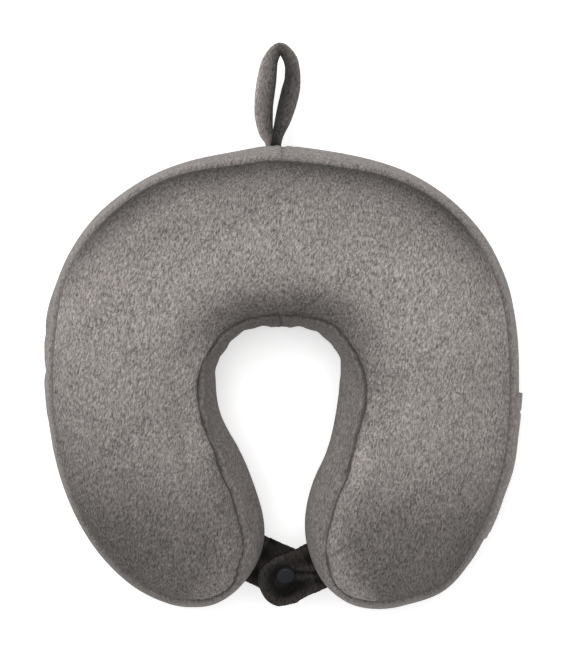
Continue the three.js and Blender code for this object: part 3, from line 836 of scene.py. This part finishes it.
def velour(name, colour, marks=False, strength=1.0, sheen=0.08):
    """Short brushed pile: mottled grain, strokes in the pile, faint cloudiness and a soft sheen,
    times the painted light and shade stored on each piece.
    """
    nodes = Nodes(name)
    swirl = nodes.add("ShaderNodeVectorMath", operation="MULTIPLY_ADD")
    swirl.inputs[0].default_value = (2.5 * MM, 0.6 * MM, 0)
    nodes.put(swirl.inputs[1], nodes.noise(7 * MM, 1))
    nodes.put(swirl.inputs[2], nodes.place)
    grain = nodes.noise(0.9 * MM, 3, 0.75)
    strokes = nodes.noise(0.92 * MM, 2, 0.6, nodes.stretched((1, 2.9, 1.6), -0.2, swirl.outputs[0]))
    patches = nodes.noise(9 * MM, 3, 0.6)
    clouds = nodes.noise(46 * MM, 2, 0.5)
    factors = [
        nodes.between(grain, 1 - 0.9 * strength, 1 + 0.9 * strength),
        nodes.between(strokes, 1 - 1.4 * strength, 1 + 1.4 * strength),
        nodes.between(patches, 1 - 0.14 * strength, 1 + 0.14 * strength),
        nodes.between(clouds, 0.93, 1.07),
    ]
    height = nodes.math("MULTIPLY_ADD", strokes, 0.7, nodes.math("MULTIPLY", grain, 0.6))
    # The colour is also multiplied by the painted light and shade stored on the piece's points.
    factors.append(nodes.add("ShaderNodeAttribute", attribute_name="painted_light").outputs["Fac"])
    if marks:
        pressed = embossed_marks(nodes)
        factors.append(nodes.between(pressed, 1.0, 0.87))
        height = nodes.math("SUBTRACT", height, nodes.math("MULTIPLY", pressed, 0.8))
    return nodes.finish(
        nodes.tint(colour, *factors),
        nodes.bumped(height, 0.7, 0.9 * MM),
        roughness=0.95,
        Sheen_Weight=sheen,
        Sheen_Roughness=0.45,
        Sheen_Tint=(0.9, 0.87, 0.84, 1),
        Specular_IOR_Level=0.2,
    )


def foam():
    """Open-celled foam."""
    nodes = Nodes("foam")
    cells = nodes.add("ShaderNodeTexVoronoi", feature="F1")
    pores = nodes.filled(cells, Vector=nodes.place, Scale=1 / (1.1 * MM)).outputs["Distance"]
    shades = (pores, 0.82, 1.1), (nodes.noise(30 * MM), 0.95, 1.05)
    relief = (pores, 0.6, 0.5 * MM)
    finish = {"roughness": 0.95, "Specular_IOR_Level": 0.2}
    return two_textures(nodes, (0.82, 0.76, 0.62), *shades, relief, **finish)


def woven_tape():
    """Twill zip tape."""
    nodes = Nodes("woven_tape")
    ribs = nodes.diagonal_bands(260, 0.6)
    shades = (ribs, 0.75, 1.15), (nodes.noise(0.5 * MM, 2), 0.85, 1.15)
    relief = (ribs, 0.5, 0.3 * MM)
    finish = {"roughness": 0.8, "Sheen_Weight": 0.2}
    return two_textures(nodes, (0.1, 0.092, 0.086), *shades, relief, **finish)


def thread(name, colour):
    """Twisted sewing thread."""
    nodes = Nodes(name)
    twist = nodes.diagonal_bands(900)
    shades = (twist, 0.7, 1.2), (nodes.noise(6 * MM), 0.9, 1.1)
    relief = (twist, 0.4, 0.1 * MM)
    return two_textures(nodes, colour, *shades, relief, roughness=0.6, Sheen_Weight=0.2)


def plastic(name, colour, roughness):
    """Moulded plastic: a faint mottle, fine texture and small scuffs."""
    nodes = Nodes(name)
    mottle = nodes.noise(1.2 * MM, 3)
    scuffs = nodes.noise(5 * MM, 4, 0.7)
    shades = (mottle, 0.9, 1.1), (scuffs, 0.9, 1.12)
    relief = (mottle, 0.15, 0.1 * MM)
    rough = nodes.between(scuffs, roughness - 0.08, roughness + 0.12)
    finish = {"roughness": rough, "Specular_IOR_Level": 0.35}
    return two_textures(nodes, colour, *shades, relief, **finish)


def metal():
    """Dark plated zinc with fine brushing and worn lighter spots."""
    nodes = Nodes("zip_metal")
    brushing = nodes.noise(0.25 * MM, 2, 0.5, nodes.stretched((1, 8, 1)))
    wear = nodes.noise(2.5 * MM, 4, 0.7)
    shades = (wear, 0.75, 1.3), (brushing, 0.93, 1.07)
    relief = (brushing, 0.12, 0.1 * MM)
    finish = {"roughness": nodes.between(wear, 0.28, 0.5), "Metallic": 0.95}
    return two_textures(nodes, (0.34, 0.33, 0.32), *shades, relief, **finish)


COVER_VELOUR = velour("velour_cover", VELOUR, marks=True)
WALL_VELOUR = velour("velour_wall", VELOUR, strength=0.8)
LOOP_VELOUR = velour("velour_loop", VELOUR, strength=0.9, sheen=0.12)
STRAP_VELOUR = velour("velour_dark", DARK_VELOUR, strength=0.9, sheen=0.04)
FOAM = foam()
TAPE = woven_tape()
SEAM_THREAD = thread("thread_seam", (0.07, 0.062, 0.056))
COIL = plastic("coil_nylon", (0.05, 0.046, 0.043), 0.45)
STUD = plastic("stud_plastic", (0.012, 0.0135, 0.018), 0.6)
METAL = metal()


# ---------- Cover and core ----------


def build_cover():
    """The stuffed skin, split into its four panels; gives back its surface and its two seams."""
    skin = Skin()
    piece = skin.object("skin", WALL_VELOUR)
    stuff(piece)
    piece = subdivided(piece)
    finish_skin(piece)
    tree = BVHTree.FromPolygons(
        [Vector(p) for p in coordinates(piece.data)],
        [list(p.vertices) for p in piece.data.polygons],
    )
    seams = [coordinates(piece.data)[ring] for ring in (skin.low_seam, skin.high_seam)]
    plan = {"flat": (2 * HALF_WIDTH, LENGTH), "area": PANEL_CUT_AREA}
    wall = {"flat": (SEAM_HIGH - SEAM_LOW + 2 * SEAM_ALLOWANCE, ARC[-1] / 2)}
    panels = [
        ("top_panel", TOP, COVER_VELOUR, "cover_top_panel", plan),
        ("bottom_panel", BOTTOM, COVER_VELOUR, "cover_bottom_panel", plan),
        ("wall_left", LEFT, WALL_VELOUR, "gusset_left", wall),
        ("wall_right", RIGHT, WALL_VELOUR, "gusset_right", wall),
    ]
    for name, part, material, node, cut in panels:
        panel = panel_piece(name, piece, part, material)
        settle(panel, "pillow", "velour", node)
    bpy.data.objects.remove(piece)
    return tree, seams


def build_core():
    """The foam block, the skin's shape a layer under it, drawn back from the seams."""
    piece = Skin(layer=CORE_UNDER).object("foam_block", FOAM)
    mesh = piece.data
    gaps = attribute_values(mesh, "seam_gap")
    inward = bump(gaps, 0, 4 * MM) * 3 * MM
    points = coordinates(mesh) - coordinates(mesh, "normal") * inward[:, None]
    set_coordinates(mesh, channel_for_core(points))
    piece = subdivided(piece)
    settle(piece, "pillow", "foam", "foam_core")


def channel_for_core(points):
    """The foam makes room for the zip behind its tapes."""
    upwards = 1 - ease((points[:, 2] - ZIP_Z - 10 * MM) / (9 * MM))
    return drawn_in(points, ZIP_RADIUS - 5 * MM, 0.3, upwards)


def seam_thread(name, loop):
    """One line of stitches lying in a seam's groove."""
    count = 6 * len(loop)
    places = np.arange(count) / 6
    k = places.astype(int)
    share = (places - k)[:, None]
    line = loop[k] * (1 - share) + np.roll(loop, -1, axis=0)[k] * share
    ahead = unit(np.roll(line, -1, axis=0) - np.roll(line, 1, axis=0))
    side = unit(np.cross(ahead, [0, 0, 1]))
    over = np.cross(side, ahead)
    rings = []
    for i in range(count):
        thickness = (0.2 + 0.25 * abs(math.sin(math.pi * places[i]))) * MM
        rings.append([line[i] + thickness * (c * side[i] + s * over[i]) for c, s in turns(6)])
    settle(swept(name, rings, SEAM_THREAD, closed=True), "pillow", "velour")


# ---------- Pocket ----------


def build_pocket(tree):
    """A flat patch on the right wall with a turned hem along its mouth, at the back."""
    low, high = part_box("pocket_panel")
    ways = np.linspace(3, 4, 2001)
    along = outline(ways)
    mouth = float(np.interp(-high.y, -along[:, 1], ways))
    end = float(np.interp(-low.y, -along[:, 1], ways))
    columns, rows = 60, 36
    hem = 11 * MM
    length = arc_at(end) - arc_at(mouth)
    outer, inner = [], []
    for i in range(columns + 1):
        way = np.array([mouth + (end - mouth) * i / columns])
        plan, outward = outline(way)[0], normals(way, outline)[0]
        run = length * i / columns
        for j in range(rows + 1):
            z = low.z + (high.z - low.z) * j / rows
            place = Vector((*plan, z))
            spot, normal, _, _ = tree.find_nearest(place)
            if normal.dot(Vector((*outward, 0))) < 0:
                normal = -normal
            margin = min(z - low.z, high.z - z, length - run)
            rounding = math.sqrt(min(1, (margin + 0.3 * MM) / (2.5 * MM)))
            hem_stitch = bump(run, hem, 0.9 * MM)
            side_stitch = bump(margin, 4 * MM, 0.9 * MM)
            puff = 1.8 * MM if run < hem else 1.4 * MM
            ripple = 0.25 * MM * math.sin(run / (6 * MM) + z / (9 * MM)) * (run > hem)
            stand = rounding * (puff + ripple) - 0.8 * MM * max(hem_stitch, side_stitch)
            stand += 0.4 * MM * bump(run, 1 * MM, 4 * MM)
            outer.append(spot + normal * max(stand, 0.25 * MM))
            inner.append(spot - normal * 0.5 * MM)
    number = np.arange((columns + 1) * (rows + 1)).reshape(columns + 1, rows + 1)
    corners = [number[:-1, :-1], number[1:, :-1], number[1:, 1:], number[:-1, 1:]]
    faces = np.stack(corners, -1).reshape(-1, 4).tolist()
    piece = closed_sheet("pocket_patch", outer, inner, faces, WALL_VELOUR)
    # Painted shade over the whole patch, about as dark as the outer wall's.
    set_painted_light(piece, [0.84] * len(piece.data.vertices))
    settle(piece, "pillow", "velour", "pocket_panel")


# ---------- Zip ----------


def zip_place(angle, height, z):
    """A place on the zip: along its arc, out from it, and above its line."""
    radius = ZIP_RADIUS + height
    return Vector((radius * math.sin(angle), ZIP_CENTRE.y + radius * math.cos(angle), ZIP_Z + z))


def build_tapes():
    """Both tapes, each with a thicker woven edge along the coil."""
    points, faces = [], []
    for direction in (1, -1):
        far = TAPE_EDGE if direction > 0 else ZIP_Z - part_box("zip_tape_lower")[0].z
        woven_edge = [(-1.6, 0.8 * MM), (-0.8, 0.8 * MM), (-0.8, 3.4 * MM), (-0.95, 3.8 * MM)]
        profile = [*woven_edge, (-0.95, far), (-1.5, far)]
        first = len(points)
        angles = np.linspace(-ZIP_HALF_ANGLE, ZIP_HALF_ANGLE, 121)
        for angle in angles:
            points += [zip_place(angle, height * MM, direction * z) for height, z in profile]
        for face in tube_faces(len(angles), len(profile)):
            faces.append([first + i for i in face[::direction]])
    piece = mesh_object("zip_tapes", points, faces, TAPE)
    settle(piece, "pillow", "zip_tape", "zip_tape_upper", "zip_tape_lower")


def build_coil(direction):
    """A nylon coil: a wire wound into a flat helix along one tape's edge."""
    name = "upper" if direction > 0 else "lower"
    pitch = 1.5 * MM
    length = 2 * (ZIP_HALF_ANGLE - 5 * MM / ZIP_RADIUS) * ZIP_RADIUS
    windings = int(length / pitch)
    per_turn, sides, wire = 10, 6, 0.32 * MM
    middle, half_width, half_height = 1.7 * MM, 0.85 * MM, 0.5 * MM
    rings = []
    for i in range(windings * per_turn + 1):
        turn = 2 * math.pi * i / per_turn
        angle = (-length / 2 + i / per_turn * pitch) / ZIP_RADIUS
        z = direction * (middle + half_width * math.cos(turn))
        height = 0.3 * MM + half_height * math.sin(turn)
        out_z, out_height = math.cos(turn), math.sin(turn)
        ring = []
        for across, ahead in turns(sides):
            outward = height + wire * across * out_height
            upward = z + direction * wire * across * out_z
            ring.append(zip_place(angle + wire * ahead / ZIP_RADIUS, outward, upward))
        rings.append(ring)
    wire_piece = swept("zip_coil_" + name + "_wire", rings, COIL)
    settle(wire_piece, "pillow", "zip_coil", "zip_coil_" + name)


def kept_node(name, material):
    """A CAD piece that stays in view, in a new material."""
    piece = frame["nodes"][name]
    piece.data.materials.clear()
    piece.data.materials.append(material)
    return piece


def keep_zip_metal():
    """The slider, its pull and the end stops keep their CAD shape, with softened edges."""
    for name in ("zip_slider", "zip_pull", "zip_stop_left", "zip_stop_right"):
        edges = kept_node(name, METAL).modifiers.new("edges", "BEVEL")
        given(edges, width=0.18 * MM, segments=2, limit_method="ANGLE")


# ---------- Hang loop ----------


def catmull_rom(knots, count):
    """Points evenly spread along a smooth line through the knots."""
    knots = np.array(knots, float)
    ends = np.concatenate([[2 * knots[0] - knots[1]], knots, [2 * knots[-1] - knots[-2]]])
    line = []
    for i in range(1, len(ends) - 2):
        a, b, c, d = ends[i - 1 : i + 3]
        for t in np.linspace(0, 1, 40, endpoint=False):
            square = (2 * a - 5 * b + 4 * c - d) * t**2
            cube = (3 * b - a - 3 * c + d) * t**3
            line.append(0.5 * (2 * b + (c - a) * t + square + cube))
    line.append(knots[-1])
    line = np.array(line)
    run = np.concatenate([[0], np.cumsum(np.linalg.norm(np.diff(line, axis=0), axis=1))])
    even = np.linspace(0, run[-1], count)
    return np.column_stack([np.interp(even, run, column) for column in line.T])


def build_loop():
    """A soft tube of velour, folded into a loop that turns on its edge at the top."""
    _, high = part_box("hang_loop")
    root = Vector(JOINTS["loop_swing"]["pos_m"])
    top_half_width = 3.8 * MM
    reach = high.y - top_half_width - root.y
    lay = 1.7 * MM
    # sideways from the root, share of the reach, height, half the tube's width
    knots = [
        (0.4, -0.14, -lay, 3.6), (-1.8, 0.03, -lay, 3.8), (-5, 0.15, -0.6 * lay, 4.8),
        (-6.2, 0.38, -0.2 * lay, 6), (-4.2, 0.68, 0, 6.3), (-1.8, 0.88, 0, 5),
        (4.2, 1, 0, 3.8), (10.6, 0.88, 0, 4.7), (12, 0.7, 0.2 * lay, 4.9),
        (10.4, 0.53, 0.5 * lay, 6), (6.4, 0.28, 0.8 * lay, 5.2),
        (2.4, 0.07, lay, 3.5), (0.6, -0.14, lay, 3.3),
    ]
    placed = []
    for x, y, z, half in knots:
        placed.append((root.x + x * MM, root.y + reach * y, root.z + z, half * MM))
    line = catmull_rom(placed, 130)
    count = len(line)
    ahead = np.gradient(line[:, :3], axis=0)
    ahead[:, 2] = 0
    ahead = unit(ahead)
    rng = np.random.default_rng(SEED + 1)
    plump = noise_along(count, 22, rng)
    twist = noise_along(count, 6, rng)
    rings = []
    painted_light = []
    for i in range(count):
        share = i / (count - 1)
        from_root = min(share, 1 - share)
        loosening = float(ease((from_root - 0.05) / 0.2))
        half_width = line[i, 3] + 0.25 * MM * plump[i] * loosening
        half_thickness = 1.55 * MM + 1.75 * MM * loosening + 0.12 * MM * plump[i]
        side = Vector((-ahead[i][1], ahead[i][0], 0.16 * twist[i] * loosening)).normalized()
        over = Vector(ahead[i]).cross(side).normalized()
        centre = Vector(line[i, :3])
        # Painted shade: darker at both roots, in the eye at the top, and on the right leg more than
        # the left.
        root_painted_shade = 0.56 * math.exp(-from_root / 0.07)
        top_painted_shade = 0.4 * bump(share, 0.5, 0.06)
        leg_painted_shade = 0.95 - 0.57 * float(ease((share - 0.45) / 0.2)) - root_painted_shade - top_painted_shade
        ring = []
        for corner in range(24):
            turn = 2 * math.pi * (corner + 0.5) / 24
            fold = 1 - 0.3 * loosening * bump(math.cos(turn), 0, 0.25)
            wide = half_width * math.copysign(abs(math.cos(turn)) ** 0.85, math.cos(turn))
            thick = half_thickness * math.sin(turn) * fold
            ring.append(centre + side * wide + over * thick)
            # Painted highlight on the tube's outer side and painted shade on its inner side.
            outside = (1 + math.cos(turn)) / 2
            painted_light.append(leg_painted_shade * (0.22 + 1.12 * outside**1.7))
        rings.append(ring)
    piece = swept("loop_tube", rings, LOOP_VELOUR)
    set_painted_light(piece, painted_light)
    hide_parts("hang_loop")
    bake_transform(piece)


# ---------- Strap and press stud ----------

TAB_HALF_WIDTH = 15.4 * MM
TAB_LENGTH = 33.5 * MM  # as it lies, its end a little curled
TAB_ROUND = 17.5 * MM  # how long its rounded end is
TAB_HALF_THICKNESS = 1.5 * MM
STUD_ALONG = 17.9 * MM


def tab_axes(side):
    """A tab's fold middle, and the directions along the tab and across it."""
    joint = JOINTS["strap_right_swing" if side > 0 else "strap_left_swing"]
    fold = Vector(joint["pos_m"])
    across = Vector(joint["axis"]).normalized()
    along = Vector((-side * abs(across.y), -abs(across.x), 0))
    return fold, along, across if across.y > 0 else -across


def tab_height(side, along, across):
    """The tab's ripple: gathered at its fold, creased to the stud and sunk round it."""
    share = across / TAB_HALF_WIDTH
    gather = math.exp(-max(along, 0) / (6 * MM))
    ripple = 0.7 * MM * math.cos(2.4 * math.pi * share + side) * gather
    distance = math.hypot(along - STUD_ALONG, across)
    past = max(0.0, distance - 8 * MM)
    curl = side * 0.9 * MM * (past / (12 * MM)) ** 1.5 * (along > 0)
    if side < 0:
        return ripple + curl
    near_fold = float(ease((STUD_ALONG - 5 * MM - along) / (5 * MM)))
    line = across + 3.2 * MM - 0.47 * along
    ridges = 1.1 * bump(line, 3 * MM, 1.8 * MM) + 0.7 * bump(line, -3.2 * MM, 2 * MM)
    crease = (ridges - 2 * bump(line, 0, 0.9 * MM)) * near_fold
    lower_fold = -1.9 * bump(along, 15.5 * MM, 8 * MM) * bump(across, -7.6 * MM, 3 * MM)
    hollow = -0.5 * bump(distance, 7 * MM, 1.6 * MM)
    plump = 0.9 * bump(distance, 13 * MM, 2.6 * MM) * (along > STUD_ALONG - 6 * MM)
    return ripple + curl + (crease + lower_fold + hollow + plump) * MM


def build_tab(side):
    """A doubled velour tab with a plump rounded rim, which grows out of the arm's seam."""
    fold, along, across = tab_axes(side)
    rng = np.random.default_rng(SEED + 3 + side)
    start = -9 * MM
    columns = 72
    rows = 30
    wobble = noise_along(columns + 1, 12, rng)
    rings = []
    painted_light = []
    for i in range(columns + 1):
        share = i / columns
        t = start + (TAB_LENGTH - start) * math.sin(share * math.pi / 2)
        past = max(0.0, t - (TAB_LENGTH - TAB_ROUND)) / TAB_ROUND
        rounding = max(0.0004, 1 - past**2.4) ** (1 / 2.4)
        waist = 1 - 0.02 * bump(t, 4 * MM, 7 * MM)
        fuzz = 0.4 * MM * wobble[i] + rng.normal(0, 0.09 * MM)
        extra, aside = (0, -0.9 * MM) if side > 0 else (0.5 * MM, 3.8 * MM)
        half = (TAB_HALF_WIDTH * waist + extra + fuzz) * rounding
        end = math.sqrt(max(0.0, 1 - (max(0.0, t - TAB_LENGTH + 3 * MM) / (3 * MM)) ** 2))
        upper, lower, shades = [], [], []
        for j in range(rows + 1):
            q = -math.cos(math.pi * j / rows)
            rim = (1 - abs(q) ** 5) ** 0.5 if abs(q) < 1 else 0.0
            thick = TAB_HALF_THICKNESS * rim * max(0.15, end)
            thick *= 1 + 0.18 * bump(abs(q), 0.82, 0.12)
            place = half * q + aside
            middle = fold + along * t + across * place
            lift = tab_height(side, t, place)
            upper.append(middle + Vector((0, 0, lift + thick)))
            from_rim = min(half * (1 - abs(q)), TAB_LENGTH - t)
            # Painted light and shade at this point of the tab.
            shades.append(tab_painted_light(side, lift, from_rim, t))
            if 0 < j < rows:
                lower.append(middle + Vector((0, 0, lift - thick)))
        rings.append(upper + lower[::-1])
        painted_light += shades + shades[-2:0:-1]
    name = "right" if side > 0 else "left"
    piece = swept("tab_" + name, rings, STRAP_VELOUR)
    set_painted_light(piece, painted_light)
    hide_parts("strap_tab_" + name)
    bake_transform(piece)


def tab_painted_light(side, lift, from_rim, along):
    """Painted light and shade on the tab: painted highlights on its rim and ridges, painted shade
    in its folds, and the right tab painted darker than the left.
    """
    rim = 1.3 * math.exp(-from_rim / (1.6 * MM)) * (along > 5 * MM)
    ridge = 0.85 * max(-1.2, min(1.2, lift / MM))
    return max(0.2, (0.7 if side > 0 else 1.3) + rim + ridge)


def turned(name, profile, centre, axis, body, node):
    """A moulded piece turned about an axis; profile is (radius, height) in millimetres."""
    upright = Vector((0, 0, 1)).rotation_difference(axis)
    rings = []
    for r, z in profile:
        ring = [Vector((r * MM * c, r * MM * s, z * MM)) for c, s in turns(48)]
        rings.append([centre + upright @ point for point in ring])
    settle(swept(name, rings, STUD), body, "stud_plastic", node)


def stud_profile(height):
    """Radius and height, in millimetres, along one outer cap from its stem to its middle."""
    rim = [(1.3, 0), (5.2, 0.14), (5.75, 0.21), (5.95, 0.38), (6, 0.73), (5.85, 0.87), (5.4, 0.965)]
    face = [(4.7, 1), (3.8, 0.99), (2, 0.965), (0.3, 0.96)]
    return [(radius, height * share) for radius, share in rim + face]


def build_stud():
    """The outer caps of the press stud, the upper one tipped forward by the gathered cloth."""
    tipped = Vector((0.16, -0.58, 1)).normalized()
    on_top = Vector((1.4 * MM, 3.9 * MM, 0.5 * MM))
    below = Vector((0, 0, -0.6 * MM))
    pieces = {
        "stud_cap": (1, 3.7, tipped, on_top, "strap_right", "press_stud_cap"),
        "stud_back": (-1, 2.6, Vector((0, 0, -1)), below, "strap_left", "press_stud_back"),
    }
    for name, (side, height, axis, shifted, body, node) in pieces.items():
        fold, along, _ = tab_axes(side)
        centre = fold + along * STUD_ALONG + shifted
        turned(name, stud_profile(height), centre, axis, body, node)
    for name in ("press_stud_socket", "press_stud_knob"):
        kept_node(name, STUD)


# ---------- Stage ----------

CAMERA_HEIGHT = 1.2  # over the pillow's middle
VIEW_LENGTH = 408.9 * MM  # the view's long side, at the pillow's middle
SENSOR = 36.0
CAMERA_SHIFT = 0.6 * MM
FLOOR_HALF = 25.0


def floor_material():
    """A matt white table top."""
    nodes = Nodes("floor_white")
    fleck = nodes.noise(0.2, 2)
    tint = nodes.tint((0.9, 0.9, 0.9), nodes.between(fleck, 0.99, 1.01))
    white = (1, 1, 1, 1)
    return nodes.finish(tint, roughness=0.9, Emission_Color=white, Emission_Strength=0.45)


def area_light(name, place, target, size, power):
    light = given(bpy.data.lights.new(name, "AREA"), shape="SQUARE", size=size, energy=power)
    holder = placed_object(name, light, place)
    holder.rotation_euler = (Vector(target) - Vector(place)).to_track_quat("-Z", "Y").to_euler()


def build_stage():
    signs = [(-1, -1), (1, -1), (1, 1), (-1, 1)]
    corners = [(x * FLOOR_HALF, y * FLOOR_HALF, 0) for x, y in signs]
    floor = mesh_object("floor", corners, [(0, 1, 2, 3)], floor_material())
    floor.location.z = -0.5 * MM
    world = bpy.data.worlds.new("studio")
    world.use_nodes = True
    backdrop = world.node_tree.nodes["Background"].inputs
    backdrop["Color"].default_value = (1, 1, 1, 1)
    backdrop["Strength"].default_value = 0.42
    bpy.context.scene.world = world
    bpy.context.scene.view_settings.view_transform = "Standard"
    target = (0, 0, MIDDLE_Z)
    area_light("top_light", (-0.15, 0.25, 1.9), target, 1.2, 24)
    area_light("rim_light", (-0.9, 1.3, 0.35), target, 0.7, 6)


def build_camera():
    lens = SENSOR * CAMERA_HEIGHT / VIEW_LENGTH
    camera = given(bpy.data.cameras.new("camera"), sensor_width=SENSOR, lens=lens, clip_end=100)
    place = (CAMERA_SHIFT, -CAMERA_SHIFT, MIDDLE_Z + CAMERA_HEIGHT)
    bpy.context.scene.camera = placed_object("camera", camera, place)


build_camera()
build_stage()
build_core()
surface, (low_seam, high_seam) = build_cover()
seam_thread("thread_top", high_seam)
seam_thread("thread_bottom", low_seam)
build_pocket(surface)
build_tapes()
build_coil(1)
build_coil(-1)
keep_zip_metal()
build_loop()
build_tab(-1)
build_tab(1)
build_stud()
